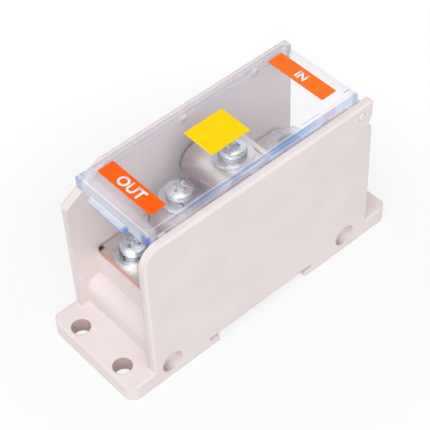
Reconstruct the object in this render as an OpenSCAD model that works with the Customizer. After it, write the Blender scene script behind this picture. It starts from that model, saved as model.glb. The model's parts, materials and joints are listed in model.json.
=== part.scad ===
// Single-pole power distribution block: a moulded channel that carries a stepped busbar
// with three outgoing screw terminals and one incoming bolt, under a hinged clear cover.
// Millimetres, +Z up. X runs along the block from the outgoing end (-X) to the incoming
// end (+X), Y runs across it. The origin is on the mounting plane, under the middle.

/* [Body] */
// Width over both side walls
body_w = 32.5; // [32:0.5:38]
// Height of the walls above the top step of the busbar
wall_rise = 5.6; // [5.4:0.1:9]
// Thickness of each side wall
wall_t = 2.5; // [2:0.1:2.6]
// Height of the shelf that the busbar lies on
shelf_h = 20.8; // [20:0.2:22]
// Radius of the rounded top corner of the right wall, at the outgoing end
corner_r = 6.2; // [3:0.2:8]
// Depth of the cut corner of the left wall
cut_drop = 8.2; // [4:0.2:10]
// Slope of the cut corner of the left wall, in degrees
cut_angle = 31; // [20:1:40]
// Radius along the outer edges of the walls
edge_r = 0.8; // [0.3:0.1:1.2]

/* [Shelf ends] */
// Distance from the outgoing end of the walls to the end face of the shelf
shelf_inset_out = 7.1; // [6:0.1:8]
// Distance from the incoming end of the walls to the end face of the shelf
shelf_inset_in = 4.6; // [3.6:0.1:5]
// Distance from the outgoing end of the walls to the face of the rounded ledge
ledge_inset = 2.5; // [0:0.1:2.8]
// Height of the rounded ledge below each end of the shelf
ledge_h = 13; // [11:0.2:16]
// Radius of the ledge
ledge_r = 4; // [2:0.2:4.2]

/* [Feet] */
// Reach of each foot past the end of the walls
foot_reach = 8.2; // [8:0.2:14]
// Thickness of the feet
foot_t = 5; // [3:0.2:6]
// Corner radius of the feet
foot_r = 3; // [1:0.5:4]
// Diameter of the foot holes
foot_hole_d = 5.2; // [4:0.1:5.6]
// Distance from the end of a foot to the centres of its holes
foot_hole_inset = 3.8; // [3.6:0.1:4.4]
// Distance from the sides of a foot to the centres of its holes
foot_hole_side = 7.8; // [5:0.1:9]
// Diameter of the blind sockets on the outside of the walls
socket_d = 6.4; // [5:0.1:7]
// Depth of those sockets
socket_depth = 2.2; // [1:0.1:3]
// Distance of the sockets from the middle of the rail notch
socket_x = 30.5; // [29:0.1:31]
// Height of the sockets
socket_z = 5; // [4.2:0.1:6]

/* [Rail notch] */
// Length of the notch that a 35 mm rail sits in
rail_l = 36; // [35.4:0.1:36.4]
// Depth of the notch
rail_depth = 3.2; // [2.8:0.1:3.6]
// Distance of the middle of the notch from the middle of the block
rail_x = -1.4; // [-2:0.1:1]
// Reach of the fixed hook under the edge of the rail
hook_l = 3; // [2:0.1:3.5]
// Thickness of the two hooks
hook_h = 2.1; // [1.5:0.1:2.3]
// Reach of the chamfered hook at the other edge of the rail
snap_l = 2.8; // [2:0.1:3.5]
// Width of the moulding pockets above the notch
core_w = 7.2; // [6:0.1:7.6]
// Thickness of the ribs between those pockets
core_rib = 2.1; // [1:0.1:2.4]
// Thickness of the shelf above those pockets
core_roof = 3.5; // [3:0.1:6]

/* [Partition] */
// Thickness of the partition
partition_t = 1.4; // [1.2:0.1:2.4]
// Height of the partition above the top step of the busbar
partition_rise = 0; // [0:0.1:3]
// Width of the lowered left end of the partition
partition_dip_w = 4.4; // [3:0.1:6]
// Depth of that lowered end
partition_dip = 6; // [2:0.2:10]

/* [Cover] */
// Height of the top of the cover above the walls
cover_rise = 3.4; // [3:0.1:5]
// Depth of the skirt of the cover between the walls
cover_sink = 0.9; // [0.4:0.1:1.2]
// Thickness of the top of the cover
cover_t = 2; // [1.4:0.1:2.2]
// Thickness of the skirt of the cover
skirt_t = 1.6; // [1.2:0.1:2]
// Gap between the cover and each wall
cover_gap = 0.2; // [0.15:0.05:0.4]
// Distance from the outgoing end of the walls to the cover
cover_inset_out = 3.4; // [3:0.1:5]
// Distance from the incoming end of the walls to the cover
cover_inset_in = 2.5; // [1.9:0.1:2.8]
// Radius of the upper edges of the cover
cover_r = 3; // [1:0.1:3.2]
// Radius of the corners of the cover, seen from above
cover_corner_r = 1.2; // [0.6:0.1:1.5]
// Width of the finger lip at the outgoing end of the cover
lip_w = 13.4; // [10:0.2:16]
// Reach of the finger lip past the cover
lip_reach = 1.5; // [0.8:0.1:2.4]
// Thickness of the finger lip
lip_t = 1.2; // [0.8:0.1:1.6]

/* [Hinge] */
// Distance of the hinge from the incoming end of the walls
hinge_inset = 4.2; // [3.8:0.1:5]
// Distance of the hinge below the top of the walls
hinge_drop = 3; // [2.8:0.1:3.6]
// Radius of the hinge pins
pin_r = 1.1; // [0.9:0.05:1.3]
// Running clearance around the pins
pin_gap = 0.05; // [0.03:0.01:0.09]
// Radius of the round end of the hinge lugs
lug_r = 2.4; // [2:0.1:2.6]
// Distance from the end of each pin to the outer face of its wall
pin_short = 0.3; // [0.1:0.1:0.6]
// Depth of the notch in the incoming edge of the walls
detent_depth = 1.6; // [0.8:0.1:1.8]
// Height of the long upper slope of that notch
detent_slope = 3.5; // [2:0.1:4]
// Height of the notch at its bottom
detent_flat = 0.8; // [0.4:0.1:1.2]
// Height of its short lower slope
detent_return = 2; // [1:0.1:2.4]

/* [Busbar] */
// Thickness of the bar and the straps
bar_t = 2; // [1.5:0.1:2.2]
// Gap between the bar and each wall
bar_gap = 0.55; // [0.3:0.05:1]
// Width of the straps
strap_w = 17.6; // [16:0.2:18]
// Rise from one terminal step to the next
step_h = 10.6; // [10:0.1:10.8]
// Setback of each step from the one below it
step_l = 12.3; // [12:0.1:16]
// Length of the top step, from its bend to the end of the straps
top_step_l = 13.9; // [13.6:0.1:18]
// Sideways place of the lower strap
lower_strap_y = -1.2; // [-2:0.1:1]
// Gap between the straps and the partition
strap_gap = 0.6; // [0.3:0.1:1]
// Depth of the threaded collars under the straps
collar_h = 1.5; // [1:0.1:2]
// Radius of the threaded collars
collar_r = 3.3; // [2.8:0.1:3.5]
// Radius of the rivet shanks
rivet_r = 1.5; // [1.2:0.1:1.8]
// Radius of the rivet heads
rivet_head_r = 2.6; // [2.2:0.1:2.8]
// Height of the rivet heads
rivet_head_h = 1.3; // [1:0.1:1.4]
// Distance from the end of the straps to the rivets
rivet_inset = 3; // [2.9:0.1:3.6]
// Distance from the sides of a strap to its rivets
rivet_side = 2.8; // [2.7:0.1:3.4]
// Clearance around shanks in their holes
shank_gap = 0.05; // [0.03:0.01:0.09]

/* [Outgoing terminals] */
// Radius of the screw shanks
screw_r = 1.95; // [1.5:0.05:2]
// Reach of the screws below the step they clamp on
screw_reach = 7; // [6.6:0.1:7.2]
// Diameter of the screw heads
head_d = 7.2; // [6.6:0.1:8]
// Height of the screw heads
head_h = 2.7; // [2.2:0.1:3]
// Diameter of the flat washers
washer_d = 11; // [9:0.1:11.4]
// Thickness of the flat washers
washer_t = 1; // [0.8:0.1:1.2]
// Diameter of the spring washers
spring_d = 7.6; // [7:0.1:8]
// Thickness of the spring washers
spring_t = 1; // [0.8:0.1:1.1]
// Width across the flats of the nut under the first terminal
nut_af = 7; // [6:0.1:8]
// Height of that nut
nut_h = 3.2; // [2.4:0.1:4]
// Distance from the end of the bar to the first terminal
screw_inset = 5.8; // [5.6:0.1:6.4]
// Distance from the bend of the lower strap to the second terminal
screw_setback_2 = 8.2; // [8:0.1:8.4]
// Distance from the bend of the upper strap to the third terminal
screw_setback_3 = 8.6; // [8:0.1:8.8]
// Sideways places of the three terminals
screw_y1 = 5.6; // [0:0.1:6]
screw_y2 = 4; // [-2:0.1:4.4]
screw_y3 = -1.8; // [-4:0.1:4]

/* [Incoming terminal] */
// Radius of the bolt shank
bolt_r = 3.95; // [3.4:0.05:4]
// Reach of the bolt below the bar surface
bolt_reach = 12; // [11:0.1:12.4]
// Width across the flats of the bolt head and its nut
bolt_af = 13; // [12:0.1:13.4]
// Height of the bolt head
bolt_head_h = 5.3; // [4.6:0.1:6]
// Diameter of its flat washer
bolt_washer_d = 16; // [14.6:0.1:16.4]
// Thickness of its flat washer
bolt_washer_t = 1.6; // [1.2:0.1:2]
// Diameter of its spring washer
bolt_spring_d = 13.6; // [12:0.1:14]
// Thickness of its spring washer
bolt_spring_t = 2; // [1.6:0.1:2.2]
// Height of its nut
bolt_nut_h = 6.5; // [5.6:0.1:6.8]
// Distance from the incoming end of the bar to the bolt
bolt_inset = 8.4; // [8.3:0.1:10]
// Distance from the bolt to the partition
bolt_bay = 14.6; // [13.6:0.1:20]
// Distance from the partition to the two screws that hold the bar
fixing_inset = 4.2; // [3.2:0.1:4.4]
// Distance from the sides of the bar to those screws
fixing_side = 5.2; // [4:0.1:6]
// Shank radius of those screws
fixing_r = 1.2; // [1:0.05:1.4]
// Head radius of those screws
fixing_head_r = 2.6; // [2.2:0.1:2.8]
// Length of those screws
fixing_l = 9; // [6:0.5:11]

/* [Labels] */
// Thickness of the labels on the cover
label_t = 0.15; // [0.1:0.05:0.3]
// Length of the labels at the two ends, across the block
label_w = 19.6; // [12:0.2:21]
// Width of those labels, along the block
label_l = 4.9; // [3:0.1:5.6]
// Distance from the outgoing end of the cover to its label
label_inset_out = 4.5; // [3.3:0.1:5]
// Distance from the incoming end of the cover to its label
label_inset_in = 4.6; // [3.3:0.1:5]
// Length of the plain marker label, along the block
marker_l = 12.4; // [8:0.2:14]
// Width of the plain marker label, across the block
marker_w = 10.4; // [8:0.2:14]
// Distance of the marker label from the middle of the block
marker_x = -0.4; // [-2:0.1:2]

/* [Hidden] */
$fn = 48;
OVER = 1;                 // how far a cut runs past the face that it opens

RIGHT = -1;
LEFT = 1;

// Levels: the bar on its shelf, the two steps above it and the top of the walls
bar_top = shelf_h + bar_t;
step_z = [bar_top, bar_top + step_h, bar_top + 2 * step_h];
body_h = step_z[2] + wall_rise;

// Length: the outgoing bays, the partition and the incoming bay between the two shelf ends
out_bays_l = 2 * step_l + top_step_l + strap_gap;
in_bay_l = bolt_bay + bolt_inset;
body_l = shelf_inset_out + out_bays_l + partition_t + in_bay_l + shelf_inset_in;
inner_y = body_w / 2 - wall_t;
out_x = -body_l / 2;
in_x = body_l / 2;
shelf_out_x = out_x + shelf_inset_out;
shelf_in_x = in_x - shelf_inset_in;
ledge_out_x = out_x + ledge_inset;
partition_x = shelf_out_x + out_bays_l + partition_t / 2;

// Rail notch
notch_x0 = rail_x - rail_l / 2;
notch_x1 = rail_x + rail_l / 2;
core_pitch = core_w + core_rib;

// Cover and hinge
cover_y = inner_y - cover_gap;
cover_x0 = out_x + cover_inset_out;
cover_x1 = in_x - cover_inset_in;
cover_z0 = body_h - cover_sink;
cover_z1 = body_h + cover_rise;
hinge_x = in_x - hinge_inset;
hinge_z = body_h - hinge_drop;
rest_gap = 0.05;          // gap between the skirt and the nibs that it rests on
nib_w = 2;                // width of those nibs
nib_inset_out = 5;        // distance from the outgoing end of the cover to the first nib
nib_inset_in = 9;         // distance from the hinge to the last nib
rest_margin = 0.4;        // how far the nibs stay short of the inside of the skirt
lip_r = 0.6;              // radius of the corners of the finger lip, seen from above
rib_t = 1.2;              // thickness of the ribs inside the skirt
rib_deep = 1;             // how far they stand out from it
rib_pitch = 4;            // distance between them
rib_inset = 11;           // distance from the hinge to the farther rib

// Busbar and terminal places
bar_y = inner_y - bar_gap;
lower_nose_x = shelf_out_x + step_l;
upper_nose_x = lower_nose_x + step_l;
strap_end_x = partition_x - partition_t / 2 - strap_gap;
rivet_x = strap_end_x - rivet_inset;
rivet_y = strap_w / 2 - rivet_side;
screw_x = [shelf_out_x + screw_inset, lower_nose_x + screw_setback_2, upper_nose_x + screw_setback_3];
screw_y = [screw_y1, screw_y2, screw_y3];
bolt_x = shelf_in_x - bolt_inset;
fixing_x = partition_x + partition_t / 2 + fixing_inset;
fixing_y = bar_y - fixing_side;
seat_gap = 0.2;           // room around a nut or a rivet head in its pocket
shank_room = 0.5;         // room around a shank that passes through the moulding
bar_corner_r = 0.6;       // radius of the corners of the bar, seen from above
fixing_sunk = 1.4;        // depth of the countersink of the bar screws
fixing_recess = 0.9;      // depth of the cross recess in the bar screws
fixing_slot = 0.6;        // width of the slots of that recess
head_recess = 1.4;        // depth of the cross recess in the terminal screws
head_slot = 0.9;          // width of the slots of that recess
bolt_chamfer = 0.6;       // how far the top of the bolt head is turned down at its corners
split_w = 0.6;            // width of the split in a spring washer
split_lean = 25;          // lean of that split, in degrees
out_split_turn = 200;     // way that the split of the first spring washer faces, in degrees
out_split_step = 50;      // how much farther round the split of each next one faces
in_split_turn = 235;      // way that the split of the spring washer under the bolt faces

plastic = "#e8dcda";
tin = "#cfcac4";
zinc = "#c9ccd2";

// ---------------------------------------------------------------- shared shapes

// Turns an outline drawn as [x, z] into a slab that is w wide and centred on y.
module across(y, w) {
    translate([0, y + w / 2, 0]) rotate([90, 0, 0]) linear_extrude(w) children();
}

// Turns an outline drawn as [y, z] into a bar from x0 to x1.
module along(x0, x1) {
    translate([x0, 0, 0]) rotate([90, 0, 90]) linear_extrude(x1 - x0) children();
}

// Cutter that rounds the corner at the origin of an outline that lies towards +x, +y.
module round_off(r) {
    difference() {
        translate([-OVER, -OVER]) square(r + OVER);
        translate([r, r]) circle(r);
    }
}

// Rectangle from p to q with every corner rounded.
module round_rect(p, q, r) {
    union() {
        translate([p[0] + r, p[1]]) square([q[0] - p[0] - 2 * r, q[1] - p[1]]);
        translate([p[0], p[1] + r]) square([q[0] - p[0], q[1] - p[1] - 2 * r]);
        for (x = [p[0] + r, q[0] - r], y = [p[1] + r, q[1] - r]) translate([x, y]) circle(r);
    }
}

// Rectangle from p to q with its two upper corners rounded.
module arch_rect(p, q, r) {
    difference() {
        translate(p) square([q[0] - p[0], q[1] - p[1]]);
        translate([p[0], q[1]]) mirror([0, 1]) round_off(r);
        translate(q) rotate(180) round_off(r);
    }
}

// Upright hexagonal prism with flats that face +x and -x.
module hex_prism(af, h) {
    rotate(30) cylinder(h = h, d = af / cos(30), $fn = 6);
}

module ring(d, bore_r, h) {
    difference() {
        cylinder(h = h, d = d);
        translate([0, 0, -OVER]) cylinder(h = h + 2 * OVER, r = bore_r);
    }
}

// ---------------------------------------------------------------- housing

// Side view of one wall: a round corner on the right one, a straight cut on the left one.
module wall_outline(side) {
    difference() {
        translate([out_x, 0]) square([body_l, body_h]);
        if (side == RIGHT) translate([out_x, body_h]) mirror([0, 1]) round_off(corner_r);
        else corner_cut();
        translate([in_x, body_h]) rotate(180) round_off(edge_r);
        detent_notch();
    }
}

module corner_cut() {
    run = cut_drop / tan(cut_angle);
    polygon([[out_x - OVER, body_h - cut_drop - OVER * tan(cut_angle)],
        [out_x + run + OVER, body_h + OVER * tan(cut_angle)],
        [out_x - OVER, body_h + OVER * tan(cut_angle)]]);
}

// Shallow V in the incoming edge, just below the hinge.
module detent_notch() {
    deep = in_x - detent_depth;
    top = hinge_z;
    bottom = top - detent_slope - detent_flat - detent_return;
    polygon([[in_x + OVER, top], [in_x, top], [deep, top - detent_slope],
        [deep, top - detent_slope - detent_flat], [in_x, bottom], [in_x + OVER, bottom]]);
}

module side_wall(side) {
    outer = side * body_w / 2;
    intersection() {
        across(outer - side * wall_t / 2, wall_t) wall_outline(side);
        along(out_x, in_x) difference() {
            translate([min(outer, outer - side * wall_t), 0]) square([wall_t, body_h]);
            translate([outer, body_h]) scale_side(side) rotate(180) round_off(edge_r);
            translate([outer - side * wall_t, body_h]) scale_side(-side) rotate(180) round_off(edge_r / 2);
        }
        linear_extrude(body_h) difference() {
            translate([out_x, min(outer, outer - side * wall_t)]) square([body_l, wall_t]);
            translate([out_x, outer]) rotate(side == RIGHT ? 0 : -90) round_off(edge_r);
            translate([in_x, outer]) rotate(side == RIGHT ? 90 : 180) round_off(edge_r);
        }
    }
}

// Mirrors an outline cutter for the other side of the block.
module scale_side(side) {
    if (side > 0) children();
    else mirror([1, 0]) children();
}

// Shelf with a rounded ledge below each end, between the walls.
module shelf_block() {
    ledge_in_x = shelf_in_x + (shelf_out_x - ledge_out_x);
    across(0, body_w - wall_t) union() {
        translate([shelf_out_x, 0]) square([shelf_in_x - shelf_out_x, shelf_h]);
        difference() {
            translate([ledge_out_x, 0]) square([ledge_in_x - ledge_out_x, ledge_h]);
            translate([ledge_out_x, ledge_h]) mirror([0, 1]) round_off(ledge_r);
            translate([ledge_in_x, ledge_h]) rotate(180) round_off(ledge_r);
        }
    }
}

module feet() {
    end_x = in_x + foot_reach;
    side_y = body_w / 2;
    soft_r = edge_r * 0.75;
    intersection() {
        linear_extrude(foot_t) round_rect([-end_x, -side_y], [end_x, side_y], foot_r);
        across(0, 2 * side_y) arch_rect([-end_x, 0], [end_x, foot_t], soft_r);
        along(-end_x, end_x) arch_rect([-side_y, 0], [side_y, foot_t], soft_r);
    }
}

// Cross wall between the two bays, cut lower at its left end.
module partition() {
    top = step_z[2] + partition_rise;
    difference() {
        across(0, body_w - wall_t) arch_rect([partition_x - partition_t / 2, 0],
            [partition_x + partition_t / 2, top], partition_t / 4);
        translate([partition_x - partition_t, inner_y - partition_dip_w, top - partition_dip])
            cube([2 * partition_t, partition_dip_w + wall_t, partition_dip + OVER]);
    }
}

// Wedges on the inside of the walls that the skirt of the closed cover rests on.
module cover_rests() {
    top = cover_z0 - rest_gap;
    reach = cover_gap + skirt_t - rest_margin;
    for (x = [cover_x0 + nib_inset_out, 0, hinge_x - nib_inset_in])
        along(x - nib_w / 2, x + nib_w / 2) for (s = [-1, 1])
            polygon([[s * inner_y, top], [s * (inner_y - reach), top], [s * inner_y, top - 2 * reach]]);
}

module rail_cut() {
    nose = 1;
    mouth_1 = notch_x1 - snap_l;
    across(0, body_w + 2 * OVER) polygon([[notch_x0 + hook_l, -OVER], [notch_x0 + hook_l, hook_h],
        [notch_x0, hook_h], [notch_x0, rail_depth], [notch_x1, rail_depth], [notch_x1, hook_h],
        [mouth_1, hook_h], [mouth_1, nose], [mouth_1 + nose, 0], [mouth_1 + nose, -OVER]]);
}

// Square pockets that open into the rail notch.
module core_pockets() {
    top = shelf_h - core_roof;
    for (i = [-1, 0, 1], j = [-1, 0, 1])
        translate([rail_x - core_rib + i * core_pitch, j * core_pitch, rail_depth - OVER])
            linear_extrude(top - rail_depth + OVER)
                round_rect([-core_w / 2, -core_w / 2], [core_w / 2, core_w / 2], 1);
}

module foot_holes() {
    hole_x = in_x + foot_reach - foot_hole_inset;
    hole_y = body_w / 2 - foot_hole_side;
    for (x = [-hole_x, hole_x], y = [-hole_y, hole_y])
        translate([x, y, -OVER]) cylinder(h = foot_t + 2 * OVER, d = foot_hole_d);
}

module wall_sockets() {
    for (x = [rail_x - socket_x, rail_x + socket_x], s = [-1, 1])
        translate([x, s * (body_w / 2 - socket_depth), socket_z]) rotate([-s * 90, 0, 0])
            cylinder(h = socket_depth + OVER, d = socket_d);
}

module hinge_holes() {
    for (s = [-1, 1]) translate([hinge_x, s * (inner_y - OVER), hinge_z]) rotate([-s * 90, 0, 0])
        cylinder(h = wall_t + 2 * OVER, r = pin_r + pin_gap);
}

// Pockets under the bar for the two nuts, the lower rivet heads and the bar screws.
module shelf_pockets() {
    translate([screw_x[0], screw_y[0], shelf_h]) {
        translate([0, 0, -nut_h - seat_gap])
            hex_prism(nut_af + seat_gap, nut_h + seat_gap + OVER);
        translate([0, 0, bar_t - screw_reach - seat_gap])
            cylinder(h = screw_reach, r = screw_r + shank_room);
    }
    translate([bolt_x, 0, shelf_h]) {
        translate([0, 0, -bolt_nut_h - seat_gap])
            hex_prism(bolt_af + seat_gap, bolt_nut_h + seat_gap + OVER);
        translate([0, 0, bar_t - bolt_reach - seat_gap])
            cylinder(h = bolt_reach, r = bolt_r + shank_room);
    }
    for (s = [-1, 1]) {
        translate([rivet_x, lower_strap_y + s * rivet_y, shelf_h - rivet_head_h - seat_gap])
            cylinder(h = rivet_head_h + seat_gap + OVER, r = rivet_head_r + seat_gap);
        translate([fixing_x, s * fixing_y, bar_top - fixing_l - seat_gap])
            cylinder(h = fixing_l, r = fixing_r + shank_gap);
    }
}

module bar_window() {
    translate([partition_x - partition_t, -inner_y, shelf_h])
        cube([2 * partition_t, 2 * inner_y, bar_t + seat_gap]);
}

module housing() {
    color(plastic) difference() {
        union() {
            side_wall(RIGHT);
            side_wall(LEFT);
            shelf_block();
            feet();
            partition();
            cover_rests();
        }
        rail_cut();
        core_pockets();
        foot_holes();
        wall_sockets();
        hinge_holes();
        shelf_pockets();
        bar_window();
    }
}

// ---------------------------------------------------------------- cover

module cover_tray() {
    difference() {
        intersection() {
            across(0, 2 * cover_y) arch_rect([cover_x0, cover_z0], [cover_x1, cover_z1], cover_r);
            along(cover_x0, cover_x1) arch_rect([-cover_y, cover_z0], [cover_y, cover_z1], cover_r);
            translate([0, 0, cover_z0]) linear_extrude(cover_z1 - cover_z0)
                round_rect([cover_x0, -cover_y], [cover_x1, cover_y], cover_corner_r);
        }
        translate([0, 0, cover_z0 - OVER]) linear_extrude(cover_z1 - cover_t - cover_z0 + OVER)
            round_rect([cover_x0 + skirt_t, skirt_t - cover_y], [cover_x1 - skirt_t, cover_y - skirt_t],
                cover_corner_r / 2);
    }
}

// Flat lip at the outgoing end that a finger lifts.
module finger_lip() {
    translate([0, 0, cover_z0]) linear_extrude(lip_t)
        round_rect([cover_x0 - lip_reach, -lip_w / 2], [cover_x0 + skirt_t / 2, lip_w / 2], lip_r);
}

module hinge_lugs() {
    for (s = [-1, 1]) {
        across(s * (cover_y - skirt_t / 2), skirt_t) union() {
            translate([hinge_x, hinge_z]) circle(lug_r);
            translate([hinge_x - lug_r, hinge_z])
                square([cover_x1 - hinge_x + lug_r, cover_z0 - hinge_z + OVER]);
        }
        translate([hinge_x, s * (cover_y - skirt_t), hinge_z]) rotate([-s * 90, 0, 0])
            cylinder(h = skirt_t + cover_gap + wall_t - pin_short, r = pin_r);
    }
}

// Short stiffening ribs inside the skirt, near the hinge.
module skirt_ribs() {
    rib_x = hinge_x - rib_inset;
    for (s = [-1, 1], x = [rib_x, rib_x + rib_pitch])
        translate([x, s > 0 ? cover_y - skirt_t - rib_deep : skirt_t - cover_y - OVER / 2, cover_z0])
            cube([rib_t, rib_deep + OVER / 2, cover_z1 - cover_t - cover_z0 + OVER / 2]);
}

module cover() {
    color("lightsteelblue", 0.4) union() {
        cover_tray();
        finger_lip();
        hinge_lugs();
        skirt_ribs();
    }
}

// ---------------------------------------------------------------- busbar

module main_bar() {
    color(tin) difference() {
        translate([0, 0, shelf_h]) linear_extrude(bar_t)
            round_rect([shelf_out_x, -bar_y], [shelf_in_x, bar_y], bar_corner_r);
        translate([screw_x[0], screw_y[0], 0]) cylinder(h = body_h, r = screw_r + shank_gap);
        translate([bolt_x, 0, 0]) cylinder(h = body_h, r = bolt_r + shank_gap);
        for (s = [-1, 1]) {
            translate([rivet_x, lower_strap_y + s * rivet_y, 0])
                cylinder(h = body_h, r = rivet_r + shank_gap);
            translate([fixing_x, s * fixing_y, 0])
                cylinder(h = body_h, r = fixing_r + shank_gap);
            translate([fixing_x, s * fixing_y, bar_top - fixing_sunk - shank_gap])
                cylinder(h = fixing_sunk + shank_gap, r1 = fixing_r + shank_gap,
                    r2 = fixing_head_r + 2 * shank_gap);
        }
    }
}

// Side view of a strap: two flanges joined by a round bend.
module strap_outline(nose_x, z) {
    mid_r = step_h / 2;
    difference() {
        union() {
            translate([nose_x + mid_r, z]) square([strap_end_x - nose_x - mid_r, step_h]);
            translate([nose_x + mid_r, z + mid_r]) circle(mid_r);
        }
        translate([nose_x + mid_r, z + bar_t]) square([body_l, step_h - 2 * bar_t]);
        translate([nose_x + mid_r, z + mid_r]) circle(mid_r - bar_t);
    }
}

// Strap that stands on level z, with a threaded collar under its upper flange.
module strap(nose_x, y, z, terminal, top_rivets) {
    collar_z = z + step_h - bar_t - collar_h;
    difference() {
        union() {
            across(y, strap_w) strap_outline(nose_x, z);
            translate([screw_x[terminal], screw_y[terminal], collar_z])
                cylinder(h = collar_h + OVER, r = collar_r);
        }
        translate([screw_x[terminal], screw_y[terminal], z + bar_t + OVER])
            cylinder(h = step_h, r = screw_r + shank_gap);
        for (s = [-1, 1]) {
            translate([rivet_x, (top_rivets ? lower_strap_y : 0) + s * rivet_y, z - OVER])
                cylinder(h = bar_t + 2 * OVER, r = rivet_r + shank_gap);
            if (top_rivets) translate([rivet_x, s * rivet_y, z + step_h - bar_t - OVER])
                cylinder(h = bar_t + 2 * OVER, r = rivet_r + shank_gap);
        }
    }
}

module lower_strap() {
    color(tin) strap(lower_nose_x, lower_strap_y, step_z[0], 1, true);
}

module upper_strap() {
    color(tin) strap(upper_nose_x, 0, step_z[1], 2, false);
}

// Rivet through two plates that meet at level z, with a domed head on each side.
module rivet(y, z) {
    dome_r = (rivet_head_r * rivet_head_r + rivet_head_h * rivet_head_h) / (2 * rivet_head_h);
    color(tin) translate([rivet_x, y, z]) union() {
        translate([0, 0, -bar_t]) cylinder(h = 2 * bar_t, r = rivet_r);
        for (s = [-1, 1]) intersection() {
            translate([0, 0, s * (bar_t + rivet_head_h - dome_r)]) sphere(dome_r, $fn = 40);
            translate([0, 0, s > 0 ? bar_t : -bar_t - rivet_head_h])
                cylinder(h = rivet_head_h, r = rivet_head_r);
        }
    }
}

// Countersunk screw that holds the bar down on the shelf.
module bar_screw(y) {
    color(zinc) translate([fixing_x, y, bar_top]) difference() {
        union() {
            translate([0, 0, -fixing_l]) cylinder(h = fixing_l - OVER / 2, r = fixing_r);
            translate([0, 0, -fixing_sunk]) cylinder(h = fixing_sunk, r1 = fixing_r, r2 = fixing_head_r);
        }
        cross_recess(fixing_head_r * 1.1, fixing_slot, fixing_recess);
    }
}

// ---------------------------------------------------------------- terminals

// Cutter for a cross recess of this span, slot width and depth, below the origin.
module cross_recess(span, slot, depth) {
    for (a = [0, 90]) rotate(a) translate([-span / 2, -slot / 2, -depth]) cube([span, slot, depth + OVER]);
}

// Screw with a domed head that stands on the washers at level z.
module pan_screw(x, y, z) {
    seat = washer_t + spring_t;
    dome_r = head_d;
    color(zinc) translate([x, y, z]) difference() {
        union() {
            translate([0, 0, -screw_reach]) cylinder(h = screw_reach + seat + OVER, r = screw_r);
            translate([0, 0, seat]) intersection() {
                cylinder(h = head_h, d = head_d);
                translate([0, 0, head_h - dome_r]) sphere(dome_r, $fn = 64);
            }
        }
        translate([0, 0, seat + head_h]) rotate(20) cross_recess(head_d * 0.6, head_slot, head_recess);
    }
}

// Split spring washer that lies on the flat washer of the same terminal.
module spring_washer(x, y, z, d, shank_r, t, turn) {
    color(zinc) translate([x, y, z]) difference() {
        ring(d, shank_r + shank_gap, t);
        rotate(turn) translate([0, -split_w / 2, -OVER]) rotate([split_lean, 0, 0])
            cube([d, split_w, t + 3 * OVER]);
    }
}

module out_screw(i) {
    pan_screw(screw_x[i], screw_y[i], step_z[i]);
}

module out_spring_washer(i) {
    spring_washer(screw_x[i], screw_y[i], step_z[i] + washer_t, spring_d, screw_r, spring_t,
        out_split_turn + out_split_step * i);
}

module out_flat_washer(i) {
    color(zinc) translate([screw_x[i], screw_y[i], step_z[i]])
        ring(washer_d, screw_r + shank_gap, washer_t);
}

module out_nut() {
    color(zinc) translate([screw_x[0], screw_y[0], shelf_h - nut_h]) difference() {
        hex_prism(nut_af, nut_h);
        translate([0, 0, -OVER]) cylinder(h = nut_h + 2 * OVER, r = screw_r + shank_gap);
    }
}

module in_bolt() {
    seat = bolt_washer_t + bolt_spring_t;
    corner = bolt_af / cos(30) / 2;
    dome_r = 2.2 * bolt_af;
    color(zinc) translate([bolt_x, 0, bar_top]) union() {
        translate([0, 0, -bolt_reach]) cylinder(h = bolt_reach + seat + OVER, r = bolt_r);
        translate([0, 0, seat]) intersection() {
            rotate(12) hex_prism(bolt_af, bolt_head_h);
            translate([0, 0, bolt_head_h - dome_r]) sphere(dome_r, $fn = 96);
            cylinder(h = bolt_head_h, r1 = corner + bolt_head_h, r2 = corner - bolt_chamfer);
        }
    }
}

module in_spring_washer() {
    spring_washer(bolt_x, 0, bar_top + bolt_washer_t, bolt_spring_d, bolt_r, bolt_spring_t,
        in_split_turn);
}

module in_flat_washer() {
    color(zinc) translate([bolt_x, 0, bar_top]) ring(bolt_washer_d, bolt_r + shank_gap, bolt_washer_t);
}

module in_nut() {
    color(zinc) translate([bolt_x, 0, shelf_h - bolt_nut_h]) difference() {
        hex_prism(bolt_af, bolt_nut_h);
        translate([0, 0, -OVER]) cylinder(h = bolt_nut_h + 2 * OVER, r = bolt_r + shank_gap);
    }
}

// ---------------------------------------------------------------- labels

module label(x0, x1, w, tint) {
    color(tint) translate([0, 0, cover_z1]) linear_extrude(label_t)
        translate([x0, -w / 2]) square([x1 - x0, w]);
}

module out_label() {
    start = cover_x0 + label_inset_out;
    label(start, start + label_l, label_w, "orangered");
}

module in_label() {
    end = cover_x1 - label_inset_in;
    label(end - label_l, end, label_w, "orangered");
}

module marker_label() {
    label(marker_x - marker_l / 2, marker_x + marker_l / 2, marker_w, "gold");
}

housing();
cover();
main_bar();
lower_strap();
upper_strap();
rivet(lower_strap_y + rivet_y, step_z[0]);  // lower_rivet_left
rivet(lower_strap_y - rivet_y, step_z[0]);  // lower_rivet_right
rivet(rivet_y, step_z[1]);  // upper_rivet_left
rivet(-rivet_y, step_z[1]);  // upper_rivet_right
bar_screw(fixing_y);  // bar_screw_left
bar_screw(-fixing_y);  // bar_screw_right
out_screw(0);  // out_screw_1
out_screw(1);  // out_screw_2
out_screw(2);  // out_screw_3
out_spring_washer(0);  // out_spring_washer_1
out_spring_washer(1);  // out_spring_washer_2
out_spring_washer(2);  // out_spring_washer_3
out_flat_washer(0);  // out_flat_washer_1
out_flat_washer(1);  // out_flat_washer_2
out_flat_washer(2);  // out_flat_washer_3
out_nut();
in_bolt();
in_spring_washer();
in_flat_washer();
in_nut();
out_label();
in_label();
marker_label();
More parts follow.
